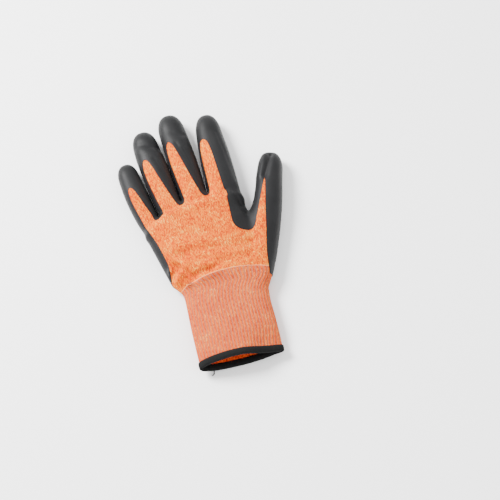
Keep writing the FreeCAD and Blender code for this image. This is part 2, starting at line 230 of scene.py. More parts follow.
# The number after a name is where the finger is cut off the palm.
# wedge: the bare knit on a finger's back, as its start, end, middle line and half width there.
# edges: the finger's left and right edge at places along it.
FINGERS = {
    "index": Finger(
        "index", -8.5, dict(base=-19, start=-9, end=41.8, middle=(-7.2, -7.6), half=(6.8, 4.4)),
        ((-28, -14, 14.4), (-9, -14, 14.9), (21, -13.9, 14.3), (35, -13.3, 13.6), (48, -11.9, 12.3),
         (62, -10.6, 11.8)),
    ),
    "middle": Finger(
        "middle", -7.0, dict(base=-19, start=-9.5, end=51.2, middle=(-2.0, -7.4), half=(8.0, 3.6)),
        ((-9, -12.2, 12), (10, -12.6, 12.6), (32, -13.2, 13.2), (59, -12.6, 12.5), (75, -11.6, 11.8)),
    ),
    "ring": Finger(
        "ring", -6.0, dict(base=-19, start=-9, end=43.2, middle=(-0.5, -6.9), half=(7.0, 3.6)),
        ((-9, -11.4, 11.6), (10, -12.6, 12.1), (35, -13.4, 12.1), (53, -13.2, 11.3), (65, -11.8, 10.8)),
    ),
    "pinky": Finger(
        "pinky", -7.5, dict(base=-26, start=-8, end=24.5, middle=(-1.0, -3.6), half=(5.3, 2.9)),
        ((-30, -6.0, 10), (-8, -9.9, 10), (11, -10.8, 10.5), (25, -10.3, 10.3), (37, -9.0, 10.5),
         (48, -7.8, 10.8)),
    ),
    "thumb": Thumb(
        "thumb", -8.5, dict(base=-31, start=-27, end=21.3, middle=(-3.2, -3.6), half=(4.8, 0.5)),
        ((-70, -9, 9), (-49, -12, 13.2), (-25, -13.4, 14.2), (-9, -13.4, 14.3), (3, -11.8, 14.1),
         (22, -11.4, 12.6), (40, -11.0, 11.6), (50, -10.8, 11.4)),
    ),
}

# The trunk of the glove, from the hem to the knuckles: its edges, the level of its edges, its top
# and how square it is, along y.
SEAM_Y = WRIST_Y + 4
TRUNK_LEFT = profile(
    (HEM_Y, HEM_LEFT + 1.6), (WRIST_Y - 40, HEM_LEFT + 0.6), (WRIST_Y - 12, HEM_LEFT + 0.6),
    (WRIST_Y - 3, HEM_LEFT), (WRIST_Y + 6, -46.5), (-26, -48.6), (0, -56.0), (25, -63.0), (38, -65.6),
    blur=2.0,
)
TRUNK_RIGHT = profile(
    (HEM_Y, HEM_RIGHT - 1.6), (WRIST_Y - 36, HEM_RIGHT - 2.4), (WRIST_Y - 26, HEM_RIGHT - 3.0),
    (WRIST_Y - 10, HEM_RIGHT - 2.2), (WRIST_Y - 4, HEM_RIGHT - 0.5), (WRIST_Y + 2, HEM_RIGHT + 2.5),
    (-20, 38.5), (0, 36.0), (10, 34.2), (18, 33.0), (24, 32.0), (36, 29.0), (46, 27.0), blur=2.5,
)
TRUNK_LEVEL = profile((HEM_Y, 10.5), (WRIST_Y, 9.5), (0, 10.0), (40, 10.0))
TRUNK_TOP = profile(
    (HEM_Y, HEM_TOP - 4.0), (HEM_Y + 30, HEM_TOP - 5.0), (WRIST_Y - 4, 19.6), (WRIST_Y + 9, 23.0),
    (0, HAND_TOP - 1.0), (25, HAND_TOP - 2.0), (45, 21.0), blur=3.0,
)
SIDE_POWER = profile((HEM_Y, 1.9), (HEM_Y + 30, 2.2), (WRIST_Y, 2.6), (0, 3.0), (40, 3.0))
TOP_POWER = profile((HEM_Y, 1.5), (HEM_Y + 30, 1.7), (WRIST_Y, 1.9), (0, 2.1), (40, 2.2))
FRONT_ROUND = 9.0
FINGER_GAP = 0.55
MOUTH_SKEW = 0.68
FOLD_DEPTH = 2.0


def front_line(x):
    """The y of the webs between the fingers: a shallow arch through the bases of the gaps."""
    return 47.2 + 0.0625 * x - 0.00545 * x * x


def rib_line(x):
    """The y where the ribs of the cuff begin, on the back of the hand."""
    share = np.clip(cuff_share(x), -1.15, 1.15)
    return SEAM_Y + 3.0 + 3.2 * share - 5.8 * share * share


# Folds of the knit on the back: two ends, a half width and a depth.
FOLDS = (
    ((-46, -29), (-39.6, -22), 2.8, 1.3),
    ((-40, -20), (-29, -33), 3.0, 1.5),
    ((-31, -13), (-15, -19), 3.4, 0.8),
    ((-26, -32), (-8, -29), 2.6, 1.0),
    ((-36, -9), (-4, -10), 3.6, 0.6),
    ((2, -24), (24, -22), 4.0, 0.45),
    ((-21, 38.5), (1, 43), 3.0, 0.9),
    ((-42, 35.5), (-27, 36.5), 2.8, 0.7),
    ((0, -13), (30, -10), 4.5, 0.45),
    ((-30, 8), (-4, 5), 5.0, 0.35),
    ((4, 38), (16, 43), 3.0, 0.45),
)

# Soft grooves and dents in the coating of the fingers, and the dent in the thumb's tip.
GROOVES = (
    ((-17.9, 99.6), (-3.5, 54), 1.8, 0.3),
    ((-13, 94), (-5.5, 67), 1.4, 0.2),
    ((-40, 88), (-28, 54), 1.8, 0.3),
    ((-36.5, 86), (-29, 66), 1.3, 0.18),
    ((-56.8, 62), (-47, 40), 1.5, 0.28),
    ((20, 104), (27.2, 55), 1.6, 0.22),
    ((23.5, 41), (29, 20), 1.8, 0.3),
    ((63, 71), (54.5, 52), 2.6, 1.7),
    ((-48, 106), (-35, 101.5), 3.4, 0.8),
    ((-19, 112), (-12, 109), 2.6, 0.3),
)


def folds(x, y, z):
    """How far the folds sink into the back of the hand."""
    return FOLD_DEPTH * creases(FOLDS, x, y) * smooth_step(z, 12, 19)


def grooves(x, y, z):
    """How far the grooves sink into the backs of the fingers."""
    return creases(GROOVES, x, y) * smooth_step(z, 8, 14)


def creases(lines, x, y):
    """How far lines of creases sink, seen from above, with a low ridge beside each."""
    depth = np.zeros_like(x)
    for (x0, y0), (x1, y1), half, deep in lines:
        dx, dy = x1 - x0, y1 - y0
        length = math.hypot(dx, dy)
        along = ((x - x0) * dx + (y - y0) * dy) / length
        off = ((x - x0) * dy - (y - y0) * dx) / length
        past = np.maximum(np.maximum(-along, along - length), 0)
        line = np.exp(-((off / half) ** 2) - (past / (1.6 * half)) ** 2)
        ridge = np.exp(-(((off - 2.2 * half) / (1.3 * half)) ** 2) - (past / (1.6 * half)) ** 2)
        depth += deep * (line - 0.5 * ridge)
    return depth


def trunk_middle(y):
    """The x half way between the trunk's edges."""
    return (TRUNK_LEFT(y) + TRUNK_RIGHT(y)) / 2


def trunk_field(x, y, z):
    """Negative inside the glove from its hem to its knuckles, without the fingers and the thumb."""
    left, right = TRUNK_LEFT(y), TRUNK_RIGHT(y)
    level, top = TRUNK_LEVEL(y), TRUNK_TOP(y)
    side = np.abs(x - (left + right) / 2) / ((right - left) / 2)
    below = np.maximum(level - z, 0) / (level - COAT_THICKNESS)
    skew = smooth_step(x, -2, 26) * smooth_step(-y, 84, -HEM_Y)
    top = top - MOUTH_SKEW * (top - level) * skew
    level = level - 2.5 * skew
    above = np.maximum(z - level, 0) / (top - level)
    front = np.maximum(y - (front_line(x) - FRONT_ROUND), 0) / FRONT_ROUND
    total = side ** SIDE_POWER(y) + below**3.0 + above ** TOP_POWER(y) + front**2.2
    return (total ** (1 / 2.3) - 1) * 11


def palm_and_thumb(x, y, z):
    """The trunk with the thumb grown into it."""
    return smooth_min(trunk_field(x, y, z), FINGERS["thumb"].field(x, y, z), 4.5)


def hand_field(x, y, z):
    """The whole glove's outer surface is where this is 0."""
    trunk = palm_and_thumb(x, y, z)
    past_web = y - front_line(x) - 1.0
    whole, before = trunk, None
    for name in LONG_FINGERS:
        finger = FINGERS[name].field(x, y, z)
        whole = np.minimum(whole, smooth_min(trunk, finger, 5.0))
        if before is not None:
            gap = np.minimum(FINGER_GAP - np.abs(finger - before) / 2, past_web)
            whole = np.maximum(whole, gap)
        before = finger
    creased = whole + folds(x, y, z) + grooves(x, y, z)
    return smooth_max(creased, COAT_THICKNESS + 0.1 - z, 0.6)


# Where the knit is bare
BARE_LEFT = profile(
    (-50, -75), (-37, -52), (-32, -46.5), (-17, -46.8), (-5, -49.8), (5.5, -52.8), (15, -56.4),
    (26, -60.4), (36, -63.2), (44, -65.8), (52, -68.0), (62, -69.4), (75, -72), (150, -95), blur=1.5,
)
BARE_RIGHT = profile(
    (-60, 60), (-50, 45), (-45, 38.4), (-31, 39.1), (-22, 40.0), (-10, 42.2), (9, 45.6), (27, 49.4),
    (50, 55.0), (150, 90), blur=1.5,
)
# The coated web of the thumb: the x and y of the round of its edge, and the round's radius.
THUMB_WEB = (27.8, 13.0, 11.8)
THUMB_WEB_LEAN = 0.36
HEEL_DROP = 12.0


def wedge_field(finger, x, y, z):
    """Positive inside the bare wedge on a finger's back."""
    s, t = finger.local(x, y)
    height, _ = finger.sizes(s)
    t = t + 0.6 * np.sign(t) * np.maximum(height - 3 - z, 0)
    wedge = finger.wedge
    share = np.clip((s - wedge["start"]) / (wedge["end"] - wedge["start"]), 0, 1)
    ease = 1 - (1 - share) ** 1.6
    middle = wedge["middle"][0] + (wedge["middle"][1] - wedge["middle"][0]) * ease
    half = wedge["half"][0] + (wedge["half"][1] - wedge["half"][0]) * share
    inside = half * np.sqrt(np.maximum(1 - share**9, 0)) - np.abs(t - middle)
    inside = np.minimum(inside, s - wedge["base"])
    return np.minimum(inside, wedge["end"] - s)


def heel_line(x):
    """The y where the coating ends on the palm side: an arch that dips over the ribs."""
    share = cuff_share(x)
    return WRIST_Y - 2 * share - HEEL_DROP * np.maximum(1 - share * share, -0.3)


def bare_field(x, y, z):
    """Positive where the knit is bare, negative where it's coated, about a distance either way."""
    web_x, web_y, web_reach = THUMB_WEB
    widening = THUMB_WEB_LEAN * np.maximum(y - web_y, 0)
    web = np.hypot(x - web_x - widening / 2, np.maximum(web_y - y, 0)) - web_reach - widening / 2
    front = np.where(x > web_x, web_y - y, front_line(x) - 4.0 - y)
    palm = smooth_min(front, x - BARE_LEFT(y), 3.0)
    palm = smooth_min(palm, BARE_RIGHT(y) - x, 3.0)
    bare = smooth_min(palm, web, 2.0)
    for name in LONG_FINGERS:
        bare = smooth_max(bare, wedge_field(FINGERS[name], x, y, z), 5.0)
    bare = smooth_max(bare, wedge_field(FINGERS["thumb"], x, y, z), 3.0)
    bare = smooth_min(bare, smooth_min(x - BARE_LEFT(y), BARE_RIGHT(y) - x, 3.0), 1.0)
    bare = smooth_min(bare, (z - 8.0) * 1.2, 2.0)
    return smooth_max(bare, heel_line(x) - y, 2.0)


# Surfaces
def cells_round(where, axis, cells):
    """For each of the four cells round grid edges along an axis: its place, and if it's there."""
    first, second = [other for other in range(3) if other != axis]
    for back in ((0, 0), (1, 0), (1, 1), (0, 1)):
        cell = where.copy()
        cell[:, first] -= back[0]
        cell[:, second] -= back[1]
        yield cell, np.all((cell >= 0) & (cell < cells), axis=1)


def surface_net(field, low, high, step):
    """The surface where a field is 0, as points and quads on a grid's cells."""
    axes = [np.arange(a, b + step, step) for a, b in zip(low, high)]
    x, y, z = np.meshgrid(*axes, indexing="ij")
    values = field(x, y, z)
    shape = np.array(values.shape)
    cells = tuple(shape - 1)
    totals = np.zeros((*cells, 3))
    counts = np.zeros(cells)
    crossings = []
    for axis in range(3):
        first = [slice(None)] * 3
        second = [slice(None)] * 3
        first[axis], second[axis] = slice(None, -1), slice(1, None)
        a, b = values[tuple(first)], values[tuple(second)]
        where = np.argwhere((a < 0) != (b < 0))
        low_values, high_values = a[tuple(where.T)], b[tuple(where.T)]
        points = where.astype(float)
        points[:, axis] += low_values / (low_values - high_values)
        for cell, good in cells_round(where, axis, cells):
            index = tuple(cell[good].T)
            np.add.at(totals, index, points[good])
            np.add.at(counts, index, 1)
        crossings.append((where, low_values < 0))
    used = counts > 0
    numbers = np.full(cells, -1)
    numbers[used] = np.arange(used.sum())
    points = totals[used] / counts[used][:, None] * step + np.array(low)
    quads = []
    for axis, (where, inside) in enumerate(crossings):
        corners = []
        good = np.ones(len(where), bool)
        for cell, there in cells_round(where, axis, cells):
            good &= there
            corners.append(numbers[tuple(np.clip(cell, 0, np.array(cells) - 1).T)])
        faces = np.column_stack(corners)[good]
        flip = inside[good] == (axis == 1)
        faces[flip] = faces[flip][:, ::-1]
        quads.append(faces)
    return points, np.vstack(quads)


def gradient(field, points, reach=0.15):
    """The direction in which a field grows, at each point."""
    sides = []
    for axis in range(3):
        offset = np.zeros(3)
        offset[axis] = reach
        sides.append(field(*(points + offset).T) - field(*(points - offset).T))
    return np.column_stack(sides) / (2 * reach)


def outward(field, points):
    """Unit normals of the surface where a field is 0."""
    slope = gradient(field, points)
    return slope / np.linalg.norm(slope, axis=1, keepdims=True)


def settle(field, points, rounds=3):
    """Moves points on to the surface where a field is 0."""
    for _ in range(rounds):
        slope = gradient(field, points)
        size = np.maximum((slope**2).sum(1), 0.05)
        step = slope * (field(*points.T) / size)[:, None]
        length = np.linalg.norm(step, axis=1, keepdims=True)
        points = points - step * np.minimum(1, 0.8 / np.maximum(length, 1e-9))
    return points


def relax(points, quads, field, rounds):
    """Evens out the quads, keeping the points on the surface. The open edge stays."""
    edges = np.vstack([quads[:, [i, (i + 1) % 4]] for i in range(4)])
    keys = np.sort(edges, axis=1)
    unique, counts = np.unique(keys, axis=0, return_counts=True)
    fixed = np.zeros(len(points), bool)
    fixed[unique[counts == 1].ravel()] = True
    for _ in range(rounds):
        total = np.zeros_like(points)
        number = np.zeros(len(points))
        for a, b in (unique.T, unique.T[::-1]):
            np.add.at(total, a, points[b])
            np.add.at(number, a, 1)
        target = total / number[:, None]
        moved = points + 0.5 * (target - points)
        moved[fixed] = points[fixed]
        points = settle(field, moved, 1)
    return points


class Surface:
    """Points with numbers attached to them, and faces of three or more corners."""

    def __init__(self, points, faces):
        self.points = points
        self.faces = [tuple(face) for face in faces]

    def snap(self, values):
        """Pulls points that a cut passes close by on to the cut."""
        edges = {tuple(sorted((f[i], f[i - 1]))) for f in self.faces for i in range(len(f))}
        edges = np.array(sorted(edges))
        a, b = values[edges[:, 0]], values[edges[:, 1]]
        crossing = (a < 0) != (b < 0)
        edges, a, b = edges[crossing], a[crossing], b[crossing]
        share = a / (a - b)
        for near, far, part in ((0, 1, share), (1, 0, 1 - share)):
            close = part < 0.25
            ends, others, parts = edges[close, near], edges[close, far], part[close]
            self.points[ends] += (self.points[others] - self.points[ends]) * parts[:, None]
            values[ends] = 0
        return values

    def split(self, field):
        """Cuts every face where a field changes sign, and returns the field at the points."""
        values = self.snap(field(*self.points.T))
        points = list(self.points)
        numbers = list(values)
        made = {}

        def cut_point(i, j):
            key = (min(i, j), max(i, j))
            if key not in made:
                i, j = key
                share = values[i] / (values[i] - values[j])
                made[key] = len(points)
                points.append(self.points[i] + (self.points[j] - self.points[i]) * share)
                numbers.append(0.0)
            return made[key]

        faces = []
        for face in self.faces:
            signs = values[list(face)]
            if signs.min() >= 0 or signs.max() <= 0:
                faces.append(face)
                continue
            for side in (1, -1):
                part = []
                for i, j in zip(face, face[1:] + face[:1]):
                    if values[i] * side >= 0:
                        part.append(i)
                    if values[i] * values[j] < 0:
                        part.append(cut_point(i, j))
                if len(part) > 2:
                    faces.append(tuple(part))
        self.points = np.array(points)
        self.faces = faces
        return np.array(numbers)

    def centres(self):
        """The middle of each face."""
        flat = np.concatenate([np.array(face) for face in self.faces])
        sizes = np.array([len(face) for face in self.faces])
        starts = np.concatenate([[0], np.cumsum(sizes)[:-1]])
        return np.add.reduceat(self.points[flat], starts, axis=0) / sizes[:, None]


def border(faces):
    """The directed edges that only one face has."""
    seen = dict.fromkeys(pair for face in faces for pair in zip(face, face[1:] + face[:1]))
    return [(i, j) for i, j in seen if (j, i) not in seen]


def new_piece(name, points, faces):
    """A smooth object from points in millimetres and faces."""
    mesh = bpy.data.meshes.new(name)
    mesh.from_pydata((points * MM).tolist(), [], faces)
    mesh.polygons.foreach_set("use_smooth", [True] * len(mesh.polygons))
    piece = bpy.data.objects.new(name, mesh)
    bpy.context.scene.collection.objects.link(piece)
    return piece, mesh


def shell(name, outer, inner, faces, normals, uv=None, inner_material=False):
    """A closed shell between two layers of points over the same faces."""
    used = sorted({i for face in faces for i in face})
    number = {old: new for new, old in enumerate(used)}
    count = len(used)
    faces = [tuple(number[i] for i in face) for face in faces]
    rims = [(j, i, i + count, j + count) for i, j in border(faces)]
    inside = [tuple(i + count for i in reversed(face)) for face in faces]
    piece, mesh = new_piece(name, np.vstack([outer[used], inner[used]]), faces + inside + rims)
    if uv is not None:
        layer = mesh.uv_layers.new(name="knit")
        corners = np.zeros(len(mesh.loops), int)
        mesh.loops.foreach_get("vertex_index", corners)
        both = np.vstack([uv[used], uv[used]])
        layer.data.foreach_set("uv", both[corners].ravel())
    if inner_material:
        indices = np.zeros(len(mesh.polygons), int)
        indices[len(faces):len(faces) + len(inside)] = 1
        mesh.polygons.foreach_set("material_index", indices)
    shading = np.vstack([normals[used], -normals[used]])
    mesh.normals_split_custom_set_from_vertices(shading.tolist())
    mesh.validate()
    return piece


# Materials
def new_material(name):
    """A material, its node tree and its shader."""
    material = bpy.data.materials.new(name)
    material.use_nodes = True
    tree = material.node_tree
    return material, tree, tree.nodes["Principled BSDF"]


def node(tree, kind, **inputs):
    """Adds a node. Inputs are values or (node, output) links, by socket name or number."""
    made = tree.nodes.new(kind)
    for key, value in inputs.items():
        socket = made.inputs[int(key[1:])] if key[0] == "_" else made.inputs[key.replace("_", " ")]
        if isinstance(value, bpy.types.NodeSocket):
            tree.links.new(value, socket)
        else:
            socket.default_value = value
    return made


def math_node(tree, operation, *values, clamp=False):
    """The result of one sum on values or links."""
    made = node(tree, "ShaderNodeMath", **{f"_{i}": v for i, v in enumerate(values)})
    made.operation = operation
    made.use_clamp = clamp
    return made.outputs[0]


def mix_colour(tree, share, first, second):
    """The first colour where share is 0 and the second where it's 1."""
    made = tree.nodes.new("ShaderNodeMix")
    made.data_type = "RGBA"
    for socket, value in ((made.inputs[0], share), (made.inputs[6], first), (made.inputs[7], second)):
        if isinstance(value, bpy.types.NodeSocket):
            tree.links.new(value, socket)
        else:
            socket.default_value = value
    return made.outputs[2]


def srgb(red, green, blue):
    """A colour from its 0 to 255 display values."""
    def linear(value):
        value /= 255
        return value / 12.92 if value <= 0.04045 else ((value + 0.055) / 1.055) ** 2.4

    return (linear(red), linear(green), linear(blue), 1.0)


def bump(tree, shader, height, distance, strength):
    """Fine relief from a height."""
    made = node(tree, "ShaderNodeBump", Height=height, Distance=distance, Strength=strength)
    tree.links.new(made.outputs[0], shader.inputs["Normal"])


def ramp(tree, factor, *stops):
    """A colour ramp through (place, colour) stops."""
    made = tree.nodes.new("ShaderNodeValToRGB")
    elements = made.color_ramp.elements
    while len(elements) < len(stops):
        elements.new(0.5)
    for element, (place, colour) in zip(elements, stops):
        element.position = place
        element.color = colour
    tree.links.new(factor, made.inputs[0])
    return made.outputs[0]


def stitches(tree, wale, course, slant):
    """Rows of V-shaped stitches from the knit's own coordinates: a number for each leg of a stitch,
    and how high the yarn stands."""
    uv = tree.nodes.new("ShaderNodeUVMap")
    uv.uv_map = "knit"
    split = node(tree, "ShaderNodeSeparateXYZ", _0=uv.outputs[0])
    across = math_node(tree, "DIVIDE", split.outputs[0], wale / 2)
    legs = math_node(tree, "FLOOR", across)
    in_leg = math_node(tree, "SUBTRACT", across, legs)
    mirrored = math_node(tree, "PINGPONG", across, 1.0)
    lean = math_node(tree, "MULTIPLY", mirrored, slant)
    along = math_node(tree, "DIVIDE", split.outputs[1], course)
    leaned = math_node(tree, "ADD", along, lean)
    rows = math_node(tree, "FLOOR", leaned)
    in_row = math_node(tree, "SUBTRACT", leaned, rows)
    cell = node(tree, "ShaderNodeCombineXYZ", _0=legs, _1=rows)
    random = node(tree, "ShaderNodeTexWhiteNoise", _0=cell.outputs[0])
    leg_height = math_node(tree, "SINE", math_node(tree, "MULTIPLY", in_leg, math.pi))
    row_height = math_node(tree, "SINE", math_node(tree, "MULTIPLY", in_row, math.pi))
    height = math_node(tree, "MULTIPLY", leg_height, math_node(tree, "POWER", row_height, 0.7))
    return random.outputs["Value"], height, uv


def yarn_speckle(tree, uv, scale):
    """Short streaks of colour along the yarn."""
    stretch = node(tree, "ShaderNodeMapping", _0=uv.outputs[0])
    stretch.inputs["Scale"].default_value = (scale, scale * 1.3, 1)
    noise = node(tree, "ShaderNodeTexNoise", _0=stretch.outputs[0], Scale=1.0, Detail=2.0, Roughness=0.7)
    return noise.outputs[0]


ORANGE_DEEP = (0.46, 0.034, 0.0, 1)
ORANGE = (0.82, 0.12, 0.0, 1)
ORANGE_PALE = (0.94, 0.235, 0.0, 1)
CREAM = (1.0, 0.70, 0.16, 1)


def knit_material(name, wale, course, deep, middle, pale, cream, stripe=None):
    """Melange knit. A striped one has a paler, greyer valley beside each rib."""
    material, tree, shader = new_material(name)
    random, height, uv = stitches(tree, wale, course, 0.9)
    speckle = yarn_speckle(tree, uv, 1100)
    patch = yarn_speckle(tree, uv, 55)
    mixed = math_node(tree, "MULTIPLY_ADD", random, 0.5, math_node(tree, "MULTIPLY", speckle, 0.42))
    mixed = math_node(tree, "MULTIPLY_ADD", math_node(tree, "SUBTRACT", patch, 0.5), 0.5, mixed)
    colour = ramp(tree, mixed, (0.16, deep), (0.42, middle), (0.64, pale), (0.88, cream))
    if stripe:
        place = node(tree, "ShaderNodeSeparateXYZ", _0=uv.outputs[0]).outputs[0]
        ribs = math_node(tree, "DIVIDE", place, RIB_PERIOD * MM / 2)
        valley = math_node(tree, "PINGPONG", ribs, 1.0)
        share = math_node(tree, "MULTIPLY", math_node(tree, "POWER", valley, 1.5), 0.9)
        colour = mix_colour(tree, share, colour, stripe)
    shade = math_node(tree, "MULTIPLY_ADD", height, 0.55, 0.5, clamp=True)
    dark = mix_colour(tree, shade, tuple(0.5 * c for c in deep[:3]) + (1.0,), colour)
    tree.links.new(dark, shader.inputs["Base Color"])
    shader.inputs["Roughness"].default_value = 0.9
    shader.inputs["Specular IOR Level"].default_value = 0.04
    bump(tree, shader, height, 0.0005, 0.8)
    return material


def inside_material():
    """The knit's inner face: yarn floats in orange, deepened to a saturated red-orange as painted bounce
    light from the glove's own walls, and darker between the stitches as painted shade.
    """
    material, tree, shader = new_material("glove_inside_painted_bounce")
    random, height, _ = stitches(tree, 0.0028, 0.0011, 0.3)
    # Painted bounce light: this saturated red-orange stands in for light reflected off the orange walls
    # inside the glove.
    colour = ramp(tree, random, (0.2, (0.75, 0.05, 0.006, 1)), (0.8, (0.92, 0.12, 0.02, 1)))
    shade = math_node(tree, "MULTIPLY_ADD", height, 0.6, 0.45, clamp=True)
    dark = mix_colour(tree, shade, (0.22, 0.01, 0.003, 1), colour)
    tree.links.new(dark, shader.inputs["Base Color"])
    shader.inputs["Roughness"].default_value = 0.9
    shader.inputs["Specular IOR Level"].default_value = 0.2
    bump(tree, shader, height, 0.0006, 0.8)
    return material


def coating_material():
    """Foam rubber: charcoal, matte with a soft sheen and a fine open-cell grain."""
    material, tree, shader = new_material("foam_coating")
    place = tree.nodes.new("ShaderNodeTexCoord").outputs["Object"]
    grain = node(tree, "ShaderNodeTexNoise", _0=place, Scale=2600.0, Detail=3.0, Roughness=0.6)
    pores = node(tree, "ShaderNodeTexVoronoi", _0=place, Scale=1500.0)
    cloud = node(tree, "ShaderNodeTexNoise", _0=place, Scale=60.0, Detail=4.0, Roughness=0.55)
    colour = ramp(tree, cloud.outputs[0], (0.3, srgb(13, 13, 14)), (0.7, srgb(20, 20, 21)))
    dusty = mix_colour(tree, math_node(tree, "MULTIPLY", grain.outputs[0], 0.2), colour, srgb(40, 41, 42))
    tree.links.new(dusty, shader.inputs["Base Color"])
    rough = math_node(tree, "MULTIPLY_ADD", cloud.outputs[0], 0.2, 0.4)
    tree.links.new(rough, shader.inputs["Roughness"])
    shader.inputs["Specular IOR Level"].default_value = 0.14
    shader.inputs["Sheen Weight"].default_value = 0.01
    shader.inputs["Sheen Roughness"].default_value = 0.4
    height = math_node(tree, "MULTIPLY_ADD", pores.outputs["Distance"], 0.5, grain.outputs[0])
    bump(tree, shader, height, 0.00012, 0.7)
    return material


def thread_material(name, dark, light):
    """Twisted polyester thread."""
    material, tree, shader = new_material(name)
    place = tree.nodes.new("ShaderNodeTexCoord").outputs["Object"]
    fibre = node(tree, "ShaderNodeTexNoise", _0=place, Scale=1800.0, Detail=3.0, Roughness=0.7)
    colour = ramp(tree, fibre.outputs[0], (0.3, dark), (0.75, light))
    tree.links.new(colour, shader.inputs["Base Color"])
    shader.inputs["Roughness"].default_value = 0.8
    shader.inputs["Specular IOR Level"].default_value = 0.12
    shader.inputs["Sheen Weight"].default_value = 0.02
    bump(tree, shader, fibre.outputs[0], 0.0002, 0.6)
    return material


KNIT = knit_material("liner_knit", 0.0016, 0.0013, ORANGE_DEEP, ORANGE, ORANGE_PALE, CREAM)
CUFF_KNIT = knit_material(
    "cuff_knit", 0.0015, 0.0013, (0.46, 0.03, 0.0, 1), (0.80, 0.09, 0.0, 1), (0.90, 0.17, 0.0, 1),
    (0.95, 0.50, 0.12, 1), stripe=(0.36, 0.17, 0.11, 1),
)
INSIDE = inside_material()
COATING = coating_material()
HEM_THREAD = thread_material("hem_thread", srgb(6, 6, 6), srgb(18, 18, 18))
PALE_YARN = thread_material("pale_yarn", (0.74, 0.20, 0.05, 1), (0.88, 0.42, 0.18, 1))
ELASTIC = thread_material("elastic_yarn", srgb(196, 188, 172), srgb(236, 230, 216))


# The hand
def make_hand():
    """The whole hand's surface, relaxed, with every cut in it."""
    low = (-84.0, WRIST_Y - HEEL_DROP - 5.0, -1.5)
    high = (84.0, 141.0, 28.0)
    points, quads = surface_net(hand_field, low, high, GRID_STEP)
    points = settle(hand_field, points)
    points = relax(points, quads, hand_field, 4)
    surface = Surface(points, quads)
    surface.split(lambda x, y, z: y - rib_line(x))
    for finger in FINGERS.values():
        for s in cut_stations(finger):
            surface.split(lambda x, y, z, f=finger, at=s: station_field(f, x, y, at))
    surface.split(bare_field)
    return surface


def cut_stations(finger):
    """Where a finger is cut: at its root, and half way between its hinges."""
    between = [(a + b) / 2 for a, b in zip(finger.hinges, finger.hinges[1:])]
    return [finger.root_cut, *between]


def station_field(finger, x, y, at):
    """How far a point is past a place along a finger, and 99 off the finger."""
    s, t = finger.local(x, y)
    t, half = finger.aside(s, t)
    return np.where(np.abs(t) < half + FINGER_REACH, s - at, 99.0)


def regions(surface):
    """Each face's finger (-1 for the palm), its part of that finger, and its centre."""
    centres = surface.centres()
    region = np.full(len(centres), -1)
    part = np.zeros(len(centres), int)
    nearest = np.full(len(centres), FINGER_REACH)
    for index, finger in enumerate(FINGERS.values()):
        s, t = finger.local(centres[:, 0], centres[:, 1])
        t, half = finger.aside(s, t)
        aside = np.abs(t) - half
        mine = (aside < nearest) & (s > finger.root_cut)
        nearest[mine] = aside[mine]
        region[mine] = index
        part[mine] = 0
        for number, at in enumerate(cut_stations(finger)[1:], 1):
            part[mine & (s > at)] = number
    return region, part, centres


def knit_coordinates(points):
    """Coordinates of the knit in metres: across the wales and along them, unrolled round the sides."""
    x, y, z = points.T
    drop = np.maximum(TRUNK_TOP(y) - 3 - z, 0)
    across = x + 0.6 * np.sign(x - trunk_middle(y)) * drop
    along = y.copy()
    for finger in FINGERS.values():
        s, t = finger.local(x, y)
        _, half = finger.aside(s, t)
        height, _ = finger.sizes(s)
        drop = np.maximum(height - 3 - z, 0)
        root = finger.origin
        own_across = root[0] + t + 0.6 * np.sign(t) * drop
        own_along = root[1] + s
        share = smooth_step(s, -16, 6) * smooth_step(half + 3 - np.abs(t), 0, 2.5)
        across = across + (own_across - across) * share
        along = along + (own_along - along) * share
    return np.column_stack([across, along]) * MM


def coat_offsets(points, bare):
    """How far the coating stands off the knit: its full thickness, rounded down at its edge. The
    ribs show through it on the underside of the heel."""
    edge, rib_relief = 0.04, 0.38
    depth = np.clip(-bare / COAT_LIP, 0, 1)
    lip = np.sqrt(1 - (1 - depth) ** 2)
    x, y, z = points.T
    ribs = 0.5 + 0.5 * np.cos(2 * math.pi * (x - trunk_middle(y)) / COAT_RIB_PERIOD)
    under = smooth_step(-z, -11, -4) * smooth_step(-y, 14, 40)
    return edge + (COAT_THICKNESS - edge) * lip - rib_relief * ribs * under * depth


def dress_finger(piece, finger, number, parent):
    """Bakes a part of a finger's placement into its mesh. The reach round its hinge is worked out but not
    used.
    """
    hinge = finger.hinges[number]
    cuts = cut_stations(finger)
    start = cuts[0] if number == 0 else max(hinge - BEND_REACH, cuts[number])
    end = hinge + BEND_REACH
    if number + 1 < len(cuts):
        end = min(end, cuts[number + 1])
    finger.point(start)
    finger.point(end)
    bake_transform(piece)


